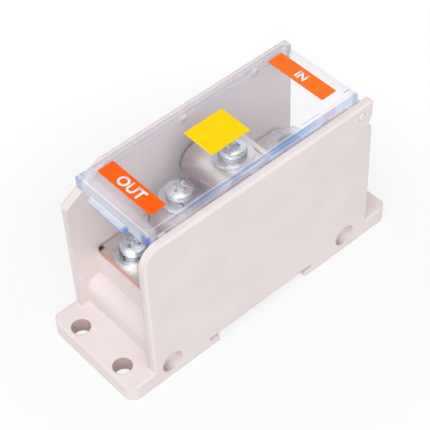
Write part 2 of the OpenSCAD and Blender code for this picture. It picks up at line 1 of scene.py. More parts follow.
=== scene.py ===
"""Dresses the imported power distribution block: its moulded channel, stepped busbar,
screw terminals, clear cover and labels, with the camera, the floor and the light."""

import json
import math
from types import SimpleNamespace

import bmesh
import bpy
from mathutils import Matrix, Vector


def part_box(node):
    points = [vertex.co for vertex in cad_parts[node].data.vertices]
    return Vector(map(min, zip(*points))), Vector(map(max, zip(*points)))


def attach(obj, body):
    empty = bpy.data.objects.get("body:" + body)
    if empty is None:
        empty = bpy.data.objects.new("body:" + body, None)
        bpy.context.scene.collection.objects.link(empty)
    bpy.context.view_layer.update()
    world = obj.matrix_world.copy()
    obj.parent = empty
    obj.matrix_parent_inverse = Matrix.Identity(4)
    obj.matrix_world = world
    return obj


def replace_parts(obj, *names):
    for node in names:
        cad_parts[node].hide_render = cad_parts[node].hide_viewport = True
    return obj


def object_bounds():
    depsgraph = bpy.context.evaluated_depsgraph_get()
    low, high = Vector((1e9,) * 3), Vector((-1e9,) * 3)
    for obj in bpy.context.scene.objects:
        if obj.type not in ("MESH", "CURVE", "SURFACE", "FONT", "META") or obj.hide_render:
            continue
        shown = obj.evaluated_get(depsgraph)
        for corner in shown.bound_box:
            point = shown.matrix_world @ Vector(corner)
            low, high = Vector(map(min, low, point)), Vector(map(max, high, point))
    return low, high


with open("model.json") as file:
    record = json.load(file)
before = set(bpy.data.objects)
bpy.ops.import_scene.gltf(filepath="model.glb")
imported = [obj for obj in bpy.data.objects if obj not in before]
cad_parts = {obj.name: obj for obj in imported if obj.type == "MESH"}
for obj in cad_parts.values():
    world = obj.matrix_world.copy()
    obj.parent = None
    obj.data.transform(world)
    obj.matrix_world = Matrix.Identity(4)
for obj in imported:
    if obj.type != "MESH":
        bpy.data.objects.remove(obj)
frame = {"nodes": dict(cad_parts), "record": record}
cad_low, cad_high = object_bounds()
nodes = frame["nodes"]

MM = 0.001

# Sizes that the finishes share with the solids.
SOCKET_X = (-31.9 * MM, 29.1 * MM)      # middles of the blind sockets, along the block
SOCKET_Z = 5.0 * MM
SOCKET_R = 3.2 * MM
SOCKET_DEEP = 2.2 * MM
HOLE_X = 42.0 * MM        # middles of the foot holes, each way from the middle of the block
HOLE_Y = 8.45 * MM
HOLE_R = 2.6 * MM
FOOT_T = 5.0 * MM
PIN_REACH = 2.4 * MM      # how far the hinge pins stand out from the sides of the cover
LIP_REACH = 1.5 * MM      # how far the finger lip stands out from its front
LIP_LOW = 48.7 * MM       # height of the underside of the lip
PLAN_CORNER = 2.4 * MM    # radius of the cover's corners, seen from above
SCREW_PITCH = 0.7 * MM
SCREW_SHANK_R = 1.95 * MM
BOLT_PITCH = 1.25 * MM
BOLT_SHANK_R = 3.95 * MM
BOLT_FACE_R = 5.8 * MM    # radius of the flat face on top of the bolt's head

# Marks that are in the housing's finish only.
SEAM_Y = 6.3 * MM         # where the two halves of the mould met on the foot
DARK_PATCH_LOW = Vector((-35.6, 13.4, 13.9)) * MM      # corners of a small dark patch inside the left wall
DARK_PATCH_HIGH = Vector((-34.0, 14.1, 14.2)) * MM

# The part of a noise's span that a finish uses: for clear patches, and for an even grain.
MOTTLED = (0.35, 0.65)
GRAINED = (0.3, 0.7)
FINE_GRAIN = 2600.0       # noise scale of the finest texture, on plastic and on plating

LABEL_FILM = 0.11 * MM
LABEL_CORNER = 0.35 * MM
PRINT_T = 0.035 * MM      # how far the printed letters stand up from their label


# ---------------------------------------------------------------- node trees


def add_node(tree, kind, **settings):
    """Adds a node, with plain settings set on it and socket values given by name in inputs."""
    made = tree.nodes.new(kind)
    inputs = settings.pop("inputs", {})
    for name, value in settings.items():
        setattr(made, name, value)
    for name, value in inputs.items():
        made.inputs[name].default_value = value
    return made


def join(tree, source, target):
    tree.links.new(source, target)


def feed(tree, side, socket):
    """Gives a socket its value. The side is another socket, a number or a colour."""
    if isinstance(side, (int, float)):
        socket.default_value = side
    elif isinstance(side, tuple):
        socket.default_value = (*side, 1.0)
    else:
        join(tree, side, socket)


def math_step(tree, operation, first, second=0.0):
    """One Math node. Each side is a socket or a number."""
    step = add_node(tree, "ShaderNodeMath", operation=operation)
    feed(tree, first, step.inputs[0])
    feed(tree, second, step.inputs[1])
    return step.outputs["Value"]


def both(tree, first, *others):
    """The product of shares: one only where every one of them is one."""
    for other in others:
        first = math_step(tree, "MULTIPLY", first, other)
    return first


def hypotenuse(tree, first, second):
    """The length of a line that goes first one way and second across it."""
    squares = math_step(tree, "ADD", both(tree, first, first), both(tree, second, second))
    return math_step(tree, "SQRT", squares)


def ramp(tree, source, low, high, to_low=0.0, to_high=1.0):
    """Maps source from low..high to to_low..to_high, and holds it at both ends."""
    span = add_node(tree, "ShaderNodeMapRange", interpolation_type="SMOOTHSTEP", inputs={
        "From Min": low, "From Max": high, "To Min": to_low, "To Max": to_high})
    join(tree, source, span.inputs["Value"])
    return span.outputs["Result"]


def fall(tree, source, low, high, start=1.0):
    """Goes from start at low down to nothing at high."""
    return ramp(tree, source, low, high, start, 0.0)


def band(tree, source, low, high, soft):
    """One between low and high, and nothing outside them, with soft ends."""
    return both(tree, ramp(tree, source, low - soft, low + soft),
                fall(tree, source, high - soft, high + soft))


def blend_colour(tree, share, first, second):
    """Mixes two colours by share. Each colour is a socket or three numbers."""
    mix = add_node(tree, "ShaderNodeMix", data_type="RGBA")
    join(tree, share, mix.inputs["Factor"])
    for name, side in (("A", first), ("B", second)):
        feed(tree, side, next(s for s in mix.inputs if s.name == name and s.type == "RGBA"))
    return next(s for s in mix.outputs if s.type == "RGBA")


def paint(tree, colour, coats):
    """Lays tints over a colour one after another, each by its own share."""
    for share, tint in coats:
        colour = blend_colour(tree, share, colour, tint)
    return colour


def mix_number(tree, share, first, second):
    """Moves from first to second by share. Each side is a socket or a number."""
    mix = add_node(tree, "ShaderNodeMix", data_type="FLOAT")
    for slot, side in ((0, share), (2, first), (3, second)):
        feed(tree, side, mix.inputs[slot])
    return mix.outputs[0]


def mix_shaders(tree, share, first, second):
    """Moves from the first shader to the second by share."""
    mix = add_node(tree, "ShaderNodeMixShader")
    for slot, side in enumerate((share, first, second)):
        join(tree, side, mix.inputs[slot])
    return mix.outputs["Shader"]


def object_place(tree):
    return add_node(tree, "ShaderNodeTexCoord").outputs["Object"]


def axes(tree):
    """The three Object coordinates, as separate sockets."""
    split = add_node(tree, "ShaderNodeSeparateXYZ")
    join(tree, object_place(tree), split.inputs["Vector"])
    return split.outputs["X"], split.outputs["Y"], split.outputs["Z"]


def noise(tree, place, scale, detail=2.0):
    grain = add_node(tree, "ShaderNodeTexNoise", inputs={"Scale": scale, "Detail": detail})
    join(tree, place, grain.inputs["Vector"])
    return grain.outputs["Fac"]


def stretched(tree, place, x, y, z):
    """Object coordinates scaled by a different amount along each axis."""
    mapping = add_node(tree, "ShaderNodeMapping", inputs={"Scale": (x, y, z)})
    join(tree, place, mapping.inputs["Vector"])
    return mapping.outputs["Vector"]


def bump(tree, height, distance, normal=None):
    relief = add_node(tree, "ShaderNodeBump", inputs={"Strength": 1.0, "Distance": distance})
    join(tree, height, relief.inputs["Height"])
    if normal is not None:
        join(tree, normal, relief.inputs["Normal"])
    return relief.outputs["Normal"]


def soft_edge(tree, radius):
    """A normal that rounds the light over hard edges, as a moulding or a deburred plate does."""
    bevel = add_node(tree, "ShaderNodeBevel", samples=6, inputs={"Radius": radius})
    return bevel.outputs["Normal"]


def show(tree, surface):
    """Makes a shader the one that the tree's output shows."""
    output = next(n for n in tree.nodes if n.type in ("OUTPUT_MATERIAL", "OUTPUT_WORLD"))
    join(tree, surface, output.inputs["Surface"])


def new_finish(name):
    """A material with one Principled shader. Returns the material, its tree and the shader."""
    material = bpy.data.materials.new(name)
    material.use_nodes = True
    tree = material.node_tree
    tree.nodes.clear()
    shader = add_node(tree, "ShaderNodeBsdfPrincipled")
    add_node(tree, "ShaderNodeOutputMaterial")
    show(tree, shader.outputs["BSDF"])
    return material, tree, shader


def seen_directly(tree):
    """One for rays from the camera, and for what metal mirrors and clear plastic passes on."""
    path = add_node(tree, "ShaderNodeLightPath")
    seen = math_step(tree, "MAXIMUM", path.outputs["Is Camera Ray"], path.outputs["Is Glossy Ray"])
    return math_step(tree, "MAXIMUM", seen, path.outputs["Is Transmission Ray"])


# ---------------------------------------------------------------- plastic and metal


def moulded_housing():
    """Pale warm grey moulded plastic, with a fine spark texture and slight mottling. It has
    painted shade inside the blind sockets and the foot holes, and has a faint seam and a small
    dark patch."""
    material, tree, shader = new_finish("moulded_plastic")
    place = object_place(tree)
    x, y, z = axes(tree)
    aside = math_step(tree, "ABSOLUTE", y)
    wall_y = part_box("housing")[1].y
    mottle = ramp(tree, noise(tree, place, 70.0, detail=3.0), *MOTTLED)
    colour = blend_colour(tree, mottle, (0.780, 0.702, 0.698), (0.805, 0.730, 0.725))

    # Painted shade inside the blind sockets, darkest towards their front side.
    in_wall = both(tree, fall(tree, aside, wall_y - 0.45 * MM, wall_y - 0.10 * MM),
                   ramp(tree, aside, wall_y - SOCKET_DEEP - 0.4 * MM,
                        wall_y - SOCKET_DEEP - 0.2 * MM))
    coats = []
    for centre in SOCKET_X:
        along = math_step(tree, "SUBTRACT", x, centre)
        off_axis = hypotenuse(tree, along, math_step(tree, "SUBTRACT", z, SOCKET_Z))
        socket = both(tree, in_wall,
                      fall(tree, off_axis, SOCKET_R + 0.03 * MM, SOCKET_R + 0.06 * MM),
                      fall(tree, along, -SOCKET_R * 0.9, SOCKET_R * 0.4, 0.85))
        coats.append((socket, (0.44, 0.33, 0.32)))
    # Painted shade inside the foot holes.
    along = math_step(tree, "SUBTRACT", math_step(tree, "ABSOLUTE", x), HOLE_X)
    off_axis = hypotenuse(tree, along, math_step(tree, "SUBTRACT", aside, HOLE_Y))
    hole_shade = both(tree, fall(tree, off_axis, HOLE_R + 0.04 * MM, HOLE_R + 0.10 * MM, 0.8),
                fall(tree, z, FOOT_T - 0.45 * MM, FOOT_T - 0.10 * MM))
    coats.append((hole_shade, (0.56, 0.42, 0.40)))
    seam = both(tree, band(tree, y, SEAM_Y - 0.1 * MM, SEAM_Y + 0.1 * MM, 0.06 * MM),
                fall(tree, z, FOOT_T + 0.1 * MM, FOOT_T + 0.3 * MM, 0.30))
    coats.append((seam, (0.52, 0.44, 0.42)))
    # A small violet-grey darkening inside the left wall, near its front end.
    dark_patch = both(tree, band(tree, x, DARK_PATCH_LOW.x, DARK_PATCH_HIGH.x, 0.4 * MM),
                 band(tree, y, DARK_PATCH_LOW.y, DARK_PATCH_HIGH.y, 0.1 * MM),
                 band(tree, z, DARK_PATCH_LOW.z, DARK_PATCH_HIGH.z, 0.2 * MM), 0.45)
    coats.append((dark_patch, (0.34, 0.32, 0.42)))
    join(tree, paint(tree, colour, coats), shader.inputs["Base Color"])

    rough = ramp(tree, noise(tree, place, 900.0), *GRAINED, 0.42, 0.52)
    join(tree, rough, shader.inputs["Roughness"])
    spark = noise(tree, place, FINE_GRAIN)
    join(tree, bump(tree, spark, 0.012 * MM, soft_edge(tree, 0.5 * MM)), shader.inputs["Normal"])
    shader.inputs["Specular IOR Level"].default_value = 0.4
    return material


def tin_over_copper(name):
    """Satin tin plating. Returns the material, its tree, the shader and the tin's colour."""
    material, tree, shader = new_finish(name)
    place = object_place(tree)
    brushed = noise(tree, stretched(tree, place, 120.0, 2400.0, 1200.0), 1.0, detail=3.0)
    cloud = ramp(tree, noise(tree, place, 260.0, detail=3.0), *MOTTLED)
    tin = blend_colour(tree, cloud, (0.66, 0.62, 0.58), (0.78, 0.74, 0.70))
    shader.inputs["Metallic"].default_value = 1.0
    join(tree, ramp(tree, brushed, *GRAINED, 0.30, 0.44), shader.inputs["Roughness"])
    join(tree, bump(tree, brushed, 0.004 * MM, soft_edge(tree, 0.2 * MM)),
         shader.inputs["Normal"])
    return material, tree, shader, tin


def tinned_bar():
    """The flat bar, with bare copper at its two sheared ends and painted shade in a small spot at
    its front left corner.
    """
    material, tree, shader, tin = tin_over_copper("tinned_bar")
    low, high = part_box("main_bar")
    x, y, z = axes(tree)
    cut = math_step(tree, "MAXIMUM", fall(tree, x, low.x + 0.04 * MM, low.x + 0.10 * MM),
                    ramp(tree, x, high.x - 0.10 * MM, high.x - 0.04 * MM))
    bare = both(tree, cut, ramp(tree, z, high.z - 1.7 * MM, high.z - 1.4 * MM))
    # Painted shade: a dark spot at the bar's front left corner, beside the wall.
    corner_shade = both(tree, fall(tree, x, low.x + 1.0 * MM, low.x + 1.9 * MM),
                ramp(tree, y, high.y - 1.7 * MM, high.y - 0.9 * MM),
                ramp(tree, z, high.z - 0.9 * MM, high.z - 0.5 * MM))
    join(tree, paint(tree, tin, [(cut, (0.82, 0.74, 0.71)), (bare, (0.76, 0.42, 0.34)),
                                 (corner_shade, (0.10, 0.06, 0.06))]), shader.inputs["Base Color"])
    return material


def bent_strap(name, node):
    """A strap, tarnished round its bend and painted with shade there, darkest and in blotches low
    on the bend, with a near-black band along the bend's side edges and dark bare copper at its
    sheared sides."""
    material, tree, shader, tin = tin_over_copper(name)
    low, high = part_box(node)
    x, y, z = axes(tree)
    middle = (low.y + high.y) / 2
    half = (high.y - low.y) / 2
    aside = math_step(tree, "ABSOLUTE", math_step(tree, "SUBTRACT", y, middle))
    bend = fall(tree, x, low.x + 3.4 * MM, low.x + 7.0 * MM)

    # Tarnished colour round the bend, darker towards its left side, with painted shade that
    # darkens it below the bend's top, which stays light.
    under = ramp(tree, z, high.z - 3.4 * MM, high.z - 0.9 * MM, 1.0, 0.15)
    left = ramp(tree, y, middle, high.y - 2.0 * MM)
    tarnish_and_shade = both(tree, bend, math_step(tree, "MAXIMUM", under, left))
    # Painted shade, darkest low on the bend, under the nose.
    lowest_shade = both(tree, bend, fall(tree, z, low.z + 2.0 * MM, high.z - 3.0 * MM))
    # Painted shade in blotches, low on the right of the bend.
    blotches = noise(tree, stretched(tree, object_place(tree), 1.0, 0.6, 1.0), 420.0, detail=3.0)
    blotchy_shade = both(tree, bend, ramp(tree, blotches, 0.46, 0.60),
                 fall(tree, z, high.z - 6.0 * MM, high.z - 4.2 * MM),
                 fall(tree, y, middle - 2.0 * MM, middle + 2.0 * MM, 0.85))
    sheared = ramp(tree, aside, half - 0.10 * MM, half - 0.05 * MM)
    # A near-black band along both side edges of the bend.
    dark_edge_band = both(tree, bend, ramp(tree, aside, half - 1.0 * MM, half - 0.7 * MM))
    join(tree, paint(tree, tin, [
        (tarnish_and_shade, (0.35, 0.240, 0.235)), (lowest_shade, (0.25, 0.115, 0.095)),
        (blotchy_shade, (0.07, 0.05, 0.05)), (sheared, (0.50, 0.22, 0.17)),
        (dark_edge_band, (0.05, 0.03, 0.03))]), shader.inputs["Base Color"])
    return material


def bright_plate(name, light, dark, smoothest, roughest):
    """Bright plating with faint light and dark patches. Returns the material, its tree, the
    shader, the colour and the fine normal."""
    material, tree, shader = new_finish(name)
    place = object_place(tree)
    patch = ramp(tree, noise(tree, place, 420.0, detail=3.0), *MOTTLED)
    grain = noise(tree, place, FINE_GRAIN)
    shader.inputs["Metallic"].default_value = 1.0
    join(tree, ramp(tree, grain, *GRAINED, smoothest, roughest), shader.inputs["Roughness"])
    fine = bump(tree, grain, 0.0012 * MM, soft_edge(tree, 0.22 * MM))
    return material, tree, shader, blend_colour(tree, patch, dark, light), fine


def plain_plate(name, light, dark, smoothest, roughest):
    """Bright plating on a washer or a rivet."""
    material, tree, shader, colour, fine = bright_plate(name, light, dark, smoothest, roughest)
    join(tree, colour, shader.inputs["Base Color"])
    join(tree, fine, shader.inputs["Normal"])
    return material


def threaded_zinc(name, node, washer, pitch, shank_r, face_r=0.0):
    """Zinc plating on a screw, with its thread cut round the shank below its washer and painted
    shade in its grooves. A hexagon head, which has a face radius, has painted shade on its face
    inside a bright ring and on its flats."""
    material, tree, shader, colour, fine = bright_plate(
        name, light=(0.76, 0.79, 0.84), dark=(0.58, 0.61, 0.66), smoothest=0.25, roughest=0.33)
    low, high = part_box(node)
    seat_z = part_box(washer)[1].z
    x, y, z = axes(tree)
    east = math_step(tree, "SUBTRACT", x, (low.x + high.x) / 2)
    north = math_step(tree, "SUBTRACT", y, (low.y + high.y) / 2)
    off_axis = hypotenuse(tree, east, north)
    turn = math_step(tree, "DIVIDE", math_step(tree, "ARCTAN2", north, east), 2 * math.pi)

    coats = []
    if face_r:
        # Painted shade on the hexagon head's face and flats, round which the bright ring stays
        # light.
        shade = (0.27, 0.28, 0.33)
        face = both(tree, fall(tree, off_axis, face_r, face_r + 0.5 * MM),
                    ramp(tree, z, high.z - 0.30 * MM, high.z - 0.15 * MM))
        sixths = math_step(tree, "ADD", math_step(tree, "MULTIPLY", turn, 6.0), 0.5)
        flat = both(tree, fall(tree, math_step(tree, "PINGPONG", sixths, 0.5), 0.26, 0.36, 0.8),
                    ramp(tree, off_axis, face_r, face_r + 0.2 * MM),
                    band(tree, z, seat_z + 0.8 * MM, high.z - 1.1 * MM, 0.2 * MM))
        coats = [(face, shade), (flat, shade)]
    climb = math_step(tree, "SUBTRACT", math_step(tree, "DIVIDE", z, pitch), turn)
    tooth = math_step(tree, "PINGPONG", climb, 0.5)
    shank = both(tree, fall(tree, z, seat_z - 0.3 * MM, seat_z),
                 ramp(tree, off_axis, shank_r * 0.9, shank_r * 0.97))
    # Painted shade in the thread's grooves.
    groove_shade = both(tree, shank, fall(tree, tooth, 0.0, 0.22, 0.75))
    coats.append((groove_shade, (0.20, 0.21, 0.23)))
    join(tree, paint(tree, colour, coats), shader.inputs["Base Color"])
    join(tree, bump(tree, both(tree, tooth, shank), pitch * 0.6, fine), shader.inputs["Normal"])
    return material


def printed_film(name, light, dark):
    """Coloured label film under a thin gloss, with a plain pale back."""
    material, tree, shader = new_finish(name)
    place = object_place(tree)
    mottle = ramp(tree, noise(tree, place, 380.0, detail=3.0), *GRAINED)
    front = blend_colour(tree, mottle, dark, light)
    back_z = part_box("marker_label")[0].z
    back = fall(tree, axes(tree)[2], back_z, back_z + 0.03 * MM)
    join(tree, blend_colour(tree, back, front, (0.80, 0.78, 0.78)), shader.inputs["Base Color"])
    join(tree, bump(tree, noise(tree, place, 1500.0), 0.006 * MM), shader.inputs["Normal"])
    shader.inputs["Roughness"].default_value = 0.5
    shader.inputs["Specular IOR Level"].default_value = 0.12
    return material


# ---------------------------------------------------------------- the clear cover

MILKY = (0.62, 0.61, 0.70)
LOOP_OUTER = 14.5 * MM    # how far the loops' outer sides lie from the middle of the cover
LOOP_CORNER = 0.8 * MM
# Each loop's start, end and inner side, and the tint and strength of its outline.
LOOPS = (
    (14.5 * MM, 22.8 * MM, 11.95 * MM, (0.48, 0.45, 0.58), 0.46),
    (29.6 * MM, 34.9 * MM, 11.25 * MM, (0.28, 0.36, 0.62), 0.80),
)


def rim_depth(tree, x, y, low, high, corner):
    """How far a point lies inside an outline with round corners, seen from above. The outline
    lies evenly about y = 0."""
    reach = Vector((high.x - low.x, high.y - low.y, 0.0)) / 2
    from_middle = math_step(tree, "SUBTRACT", x, (low.x + high.x) / 2)
    over_x = math_step(tree, "SUBTRACT", math_step(tree, "ABSOLUTE", from_middle),
                       reach.x - corner)
    over_y = math_step(tree, "SUBTRACT", math_step(tree, "ABSOLUTE", y), reach.y - corner)
    round_part = hypotenuse(tree, math_step(tree, "MAXIMUM", over_x, 0.0),
                            math_step(tree, "MAXIMUM", over_y, 0.0))
    flat_part = math_step(tree, "MINIMUM", math_step(tree, "MAXIMUM", over_x, over_y), 0.0)
    return math_step(tree, "SUBTRACT", corner, math_step(tree, "ADD", round_part, flat_part))


def cover_place(tree):
    """Where a point of the cover lies: its coordinates, its depth inside the outline, how far
    it lies behind the front, and shares for the left and right sides and all but the back."""
    low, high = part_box("cover")
    front_x, right_y, left_y = low.x + LIP_REACH, low.y + PIN_REACH, high.y - PIN_REACH
    x, y, z = axes(tree)
    return SimpleNamespace(
        x=x, y=y, z=z, low=low, high=high, right_y=right_y,
        depth=rim_depth(tree, x, y, Vector((front_x, right_y, 0.0)),
                        Vector((high.x, left_y, 0.0)), PLAN_CORNER),
        behind=math_step(tree, "SUBTRACT", x, front_x),
        left=ramp(tree, y, left_y - 4.0 * MM, left_y - 2.0 * MM),
        right=fall(tree, y, right_y + 2.0 * MM, right_y + 4.0 * MM),
        before_back=fall(tree, x, high.x - 3.0 * MM, high.x - 1.6 * MM))


def rim_layers(tree, at):
    """The milky rims along the two sides and the front, with their dark lines and painted
    highlight lines.
    """
    left, right = both(tree, at.left, at.before_back), both(tree, at.right, at.before_back)
    front = fall(tree, at.behind, 1.6 * MM, 4.4 * MM)
    # Painted highlights: a white line behind the front edge, a bright line inside the left rim and
    # a pale line along the right rim.
    highlight_streak = band(tree, at.behind, 0.65 * MM, 0.95 * MM, 0.12 * MM)
    cool_edge = fall(tree, at.behind, 0.40 * MM, 0.60 * MM)
    dark_line = band(tree, at.depth, 0.9 * MM, 1.3 * MM, 0.15 * MM)
    highlight_line = band(tree, at.depth, 3.2 * MM, 3.8 * MM, 0.25 * MM)
    edge_highlight = band(tree, at.depth, 0.8 * MM, 1.0 * MM, 0.12 * MM)
    return [
        (both(tree, left, fall(tree, at.depth, 2.2 * MM, 3.2 * MM)), MILKY, 0.34),
        (both(tree, left, dark_line), (0.42, 0.39, 0.43), 0.40),
        (both(tree, right, fall(tree, at.depth, 1.0 * MM, 1.6 * MM)), MILKY, 0.30),
        (both(tree, left, highlight_line), (0.90, 0.88, 0.95), 0.30),
        (front, (0.80, 0.78, 0.84), 0.42),
        (both(tree, front, highlight_streak), (0.88, 0.93, 1.0), 0.55),
        (cool_edge, (0.56, 0.62, 0.74), 0.62),
        (both(tree, right, edge_highlight), (0.94, 0.94, 1.0), 0.45),
    ]


def blue_layers(tree, at):
    """The blue and violet casts that run along the long edges, from the front to the back."""
    low_band = both(tree, fall(tree, at.depth, 0.40 * MM, 0.55 * MM),
                    ramp(tree, at.x, -24.0 * MM, -10.0 * MM))
    thin = both(tree, fall(tree, at.depth, 0.50 * MM, 0.70 * MM),
                ramp(tree, at.z, at.high.z - 2.0 * MM, at.high.z - 1.4 * MM))
    wide = band(tree, at.depth, 0.05 * MM, 0.72 * MM, 0.12 * MM)
    stripes = noise(tree, stretched(tree, object_place(tree), 60.0, 2600.0, 2600.0), 1.0)
    stripes = ramp(tree, stripes, *MOTTLED)
    cobalt = blend_colour(tree, stripes, (0.08, 0.22, 0.60), (0.22, 0.42, 0.78))
    sky = blend_colour(tree, stripes, (0.13, 0.30, 0.62), (0.34, 0.52, 0.80))
    return [
        (both(tree, at.right, low_band), (0.66, 0.64, 0.82), 0.55),
        (both(tree, at.right, thin, band(tree, at.x, -27.0 * MM, -18.0 * MM, 2.0 * MM)),
         (0.34, 0.24, 0.52), 0.60),
        (both(tree, at.right, thin, band(tree, at.x, -21.0 * MM, 3.0 * MM, 2.5 * MM)),
         cobalt, 0.78),
        (both(tree, at.right, wide, band(tree, at.x, 3.0 * MM, 22.0 * MM, 4.0 * MM)),
         sky, 0.76),
        (both(tree, at.right, wide, band(tree, at.x, 22.0 * MM, 27.5 * MM, 1.5 * MM)),
         (0.44, 0.34, 0.62), 0.68),
        (both(tree, at.right, wide, ramp(tree, at.x, 26.5 * MM, 29.0 * MM)),
         (0.36, 0.50, 0.78), 0.60),
        (both(tree, at.left, wide, ramp(tree, at.x, 27.0 * MM, 31.0 * MM)),
         (0.50, 0.60, 0.84), 0.60),
    ]


def loop_layers(tree, at):
    """The two rounded loops on each long side: a dark outline, and a pale line inside it."""
    layers = []
    aside = math_step(tree, "ABSOLUTE", at.y)
    for start, end, inner, tint, strength in LOOPS:
        middle, reach = (inner + LOOP_OUTER) / 2, (LOOP_OUTER - inner) / 2
        inside = rim_depth(tree, at.x, math_step(tree, "SUBTRACT", aside, middle),
                           Vector((start, -reach, 0.0)), Vector((end, reach, 0.0)), LOOP_CORNER)
        grown = both(tree, ramp(tree, at.x, start + 1.0 * MM, start + 2.2 * MM),
                     ramp(tree, at.depth, 0.66 * MM, 0.80 * MM))
        dark_line = band(tree, inside, 0.10 * MM, 0.42 * MM, 0.08 * MM)
        pale_line = band(tree, inside, 0.52 * MM, 0.80 * MM, 0.08 * MM)
        layers.append((both(tree, grown, dark_line), tint, strength))
        layers.append((both(tree, grown, pale_line), (0.96, 0.96, 1.0), 0.36))
    return layers


def corner_layers(tree, at):
    """The blue gathered in the two front corners."""
    mottled = ramp(tree, noise(tree, object_place(tree), 900.0), 0.40, 0.60)
    left_corner = both(tree, at.left, fall(tree, at.behind, 1.2 * MM, 3.2 * MM),
                       ramp(tree, mottled, 0.0, 1.0, 0.35, 1.0))
    right_corner = both(tree, fall(tree, at.y, at.right_y + 1.4 * MM, at.right_y + 2.8 * MM),
                        fall(tree, at.behind, 0.6 * MM, 2.0 * MM),
                        fall(tree, at.z, at.high.z - 2.2 * MM, at.high.z - 1.2 * MM))
    return [(left_corner, (0.28, 0.33, 0.62), 0.66), (right_corner, (0.11, 0.18, 0.60), 0.85)]


def lip_layers(tree, at):
    """The finger lip: pale, with a painted white highlight, a violet lower edge and a blue right
    end.
    """
    lip = fall(tree, at.behind, -0.12 * MM, -0.02 * MM)
    # Painted highlight along the lip.
    highlight_streak = band(tree, at.behind, -0.45 * MM, -0.20 * MM, 0.08 * MM)
    lower_edge = both(tree, fall(tree, at.x, at.low.x + 0.15 * MM, at.low.x + 0.35 * MM),
                      fall(tree, at.z, LIP_LOW + 0.45 * MM, LIP_LOW + 0.75 * MM))
    right_end = fall(tree, at.y, -6.5 * MM, -5.2 * MM)
    return [
        (lip, (0.70, 0.77, 0.90), 0.44),
        (both(tree, lip, highlight_streak), (0.97, 0.98, 1.0), 0.75),
        (lower_edge, (0.34, 0.34, 0.62), 0.60),
        (both(tree, lip, right_end), (0.12, 0.32, 0.72), 0.80),
    ]


def inner_layers(tree, at):
    """The hinge pins, which look nearly solid, and the inner walls, which hardly show."""
    pin = both(tree, fall(tree, at.depth, -0.3 * MM, -0.1 * MM),
               ramp(tree, at.x, 24.0 * MM, 26.0 * MM))
    inner_wall = both(tree, ramp(tree, at.depth, 1.40 * MM, 1.50 * MM),
                      fall(tree, at.z, at.high.z - 1.9 * MM, at.high.z - 1.8 * MM))
    return [(pin, (0.93, 0.90, 0.90), 0.90), (inner_wall, (0.90, 0.88, 0.95), 0.04)]


def clear_cover():
    """Clear moulded plastic. Its rims, its corners and the end of its lip gather a milky white
    and a blue cast. Lamps and soft light pass through it."""
    material, tree, shader = new_finish("clear_plastic")
    at = cover_place(tree)
    colour, body = (0.84, 0.81, 0.92), 0.17
    for gather in (rim_layers, blue_layers, loop_layers, corner_layers, lip_layers, inner_layers):
        for mask, tint, strength in gather(tree, at):
            colour = blend_colour(tree, mask, colour, tint)
            body = mix_number(tree, mask, body, strength)
    join(tree, colour, shader.inputs["Base Color"])
    join(tree, body, shader.inputs["Alpha"])
    shader.inputs["Roughness"].default_value = 0.06
    shader.inputs["Specular IOR Level"].default_value = 0.5

    path = add_node(tree, "ShaderNodeLightPath")
    passing = math_step(tree, "MAXIMUM", path.outputs["Is Shadow Ray"],
                        path.outputs["Is Diffuse Ray"])
    through = add_node(tree, "ShaderNodeBsdfTransparent", inputs={
        "Color": (0.975, 0.975, 0.985, 1.0)})
    show(tree, mix_shaders(tree, passing, shader.outputs["BSDF"], through.outputs["BSDF"]))
    return material


# ---------------------------------------------------------------- which finish goes where

orange_finish = printed_film(
    "orange_film", light=(0.99, 0.130, 0.004), dark=(0.96, 0.118, 0.004))
pale_orange_finish = printed_film(
    "pale_orange_film", light=(0.99, 0.185, 0.018), dark=(0.97, 0.172, 0.016))
yellow_finish = printed_film(
    "yellow_film", light=(0.98, 0.690, 0.002), dark=(0.95, 0.660, 0.002))
white_finish = printed_film(
    "white_print", light=(0.93, 0.92, 0.91), dark=(0.88, 0.87, 0.86))
rivet_finish = plain_plate(
    "rivet_tin", light=(0.74, 0.70, 0.67), dark=(0.62, 0.58, 0.56), smoothest=0.31, roughest=0.38)
washer_finish = plain_plate(
    "washer_zinc", light=(0.74, 0.75, 0.78), dark=(0.60, 0.62, 0.66), smoothest=0.31,
    roughest=0.38)
# The spring washers are painted dark: painted shade in the gap between each head and its flat
# washer.
shaded_spring_finish = plain_plate(
    "spring_zinc_painted_shade", light=(0.34, 0.35, 0.37), dark=(0.24, 0.25, 0.27), smoothest=0.27,
    roughest=0.34)

FINISHES = {
    "housing_plastic": moulded_housing(),
    "clear_plastic": clear_cover(),
    "tinned_copper": tinned_bar(),
    "rivet_metal": rivet_finish,
    "zinc_steel": washer_finish,
    "orange_label": orange_finish,
    "yellow_label": yellow_finish,
}
OWN_FINISHES = {
    "lower_strap": bent_strap("lower_strap_tin", "lower_strap"),
    "upper_strap": bent_strap("upper_strap_tin", "upper_strap"),
    "in_spring_washer": shaded_spring_finish,
    "in_bolt": threaded_zinc("bolt_zinc", "in_bolt", "in_spring_washer", BOLT_PITCH,
                             BOLT_SHANK_R, BOLT_FACE_R),
}
for number in (1, 2, 3):
    washer = f"out_spring_washer_{number}"
    OWN_FINISHES[washer] = shaded_spring_finish
    OWN_FINISHES[f"out_screw_{number}"] = threaded_zinc(
        f"screw_zinc_{number}", f"out_screw_{number}", washer, SCREW_PITCH, SCREW_SHANK_R)


def dress_nodes():
    """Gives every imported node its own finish, or else that of its material slot."""
    for part in frame["record"]["subparts"]:
        finish = OWN_FINISHES.get(part["node"], FINISHES[part["material_slot"]])
        for slot in nodes[part["node"]].material_slots:
            slot.material = finish


dress_nodes()


# ---------------------------------------------------------------- labels


